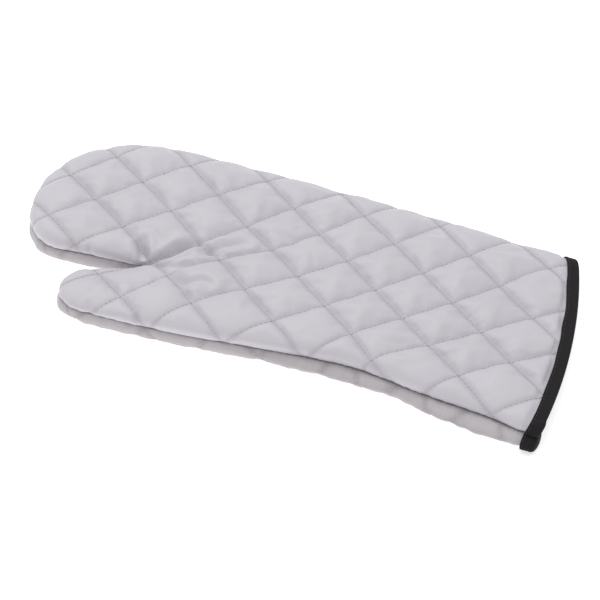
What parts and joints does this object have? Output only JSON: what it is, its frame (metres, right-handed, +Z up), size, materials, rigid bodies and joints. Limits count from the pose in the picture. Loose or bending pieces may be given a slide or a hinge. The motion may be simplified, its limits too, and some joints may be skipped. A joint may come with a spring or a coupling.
{
  "type": "barbecue glove",
  "caption": "Long quilted heat-resistant barbecue mitt with a separate thumb and a bound open cuff, lying flat.",
  "frame": {"origin": "middle of the footprint, on the surface that the glove lies on", "axes": "+X from the fingertips to the open cuff, -Y towards the thumb's side, +Z up out of the upper panel"},
  "size_m": [0.4178, 0.1998, 0.0256],
  "materials": {
    "quilted_cloth": "silver-grey coated cotton, softly shiny, quilted over padding",
    "binding_tape": "matt black woven bias tape"
  },
  "bodies": {
    "root": {"upper_panel": "quilted_cloth", "lower_panel": "quilted_cloth", "cuff_binding": "binding_tape"}
  },
  "joints": []
}
